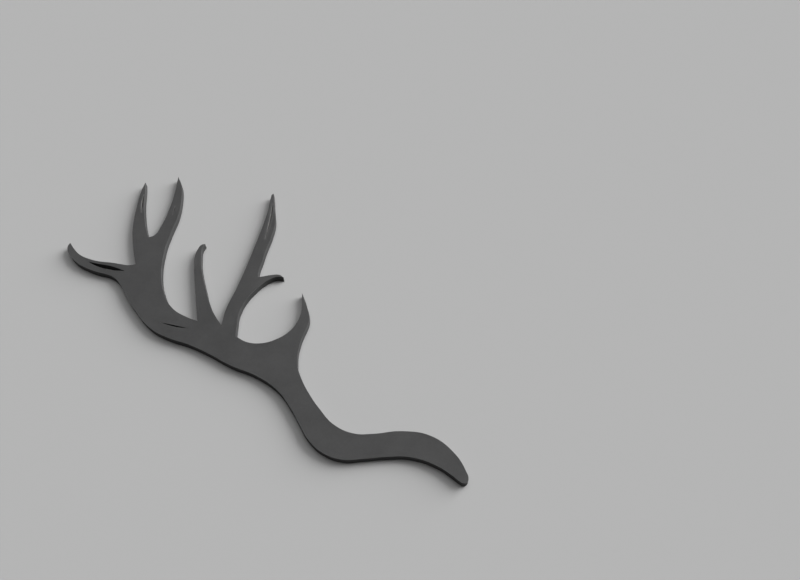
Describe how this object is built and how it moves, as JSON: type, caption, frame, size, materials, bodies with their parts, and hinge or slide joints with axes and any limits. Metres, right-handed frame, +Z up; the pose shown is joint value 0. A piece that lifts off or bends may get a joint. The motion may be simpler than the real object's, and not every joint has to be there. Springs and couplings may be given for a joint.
{
  "type": "antler",
  "caption": "Flat dark antler shape lying on a surface: a curved beam with pointed tines, a crown fork and a round gap between the brow tine and the hook.",
  "frame": {"origin": "on the underside, at the middle of the outline's box", "axes": "+X from the crown towards the base of the beam, +Y towards the tips of the upright tines, +Z up out of the surface that the antler lies on"},
  "size_m": [0.5962, 0.5319, 0.01],
  "materials": {
    "horn": "dull, even dark grey horn with a fine lengthwise grain"
  },
  "bodies": {
    "root": {"lower_beam": "horn", "middle_beam": "horn", "upper_beam": "horn", "crown_beam": "horn", "brow_tine": "horn", "tall_tine": "horn", "hook_tine": "horn", "middle_tine": "horn", "end_tine": "horn", "left_crown_tine": "horn", "right_crown_tine": "horn"}
  },
  "joints": []
}
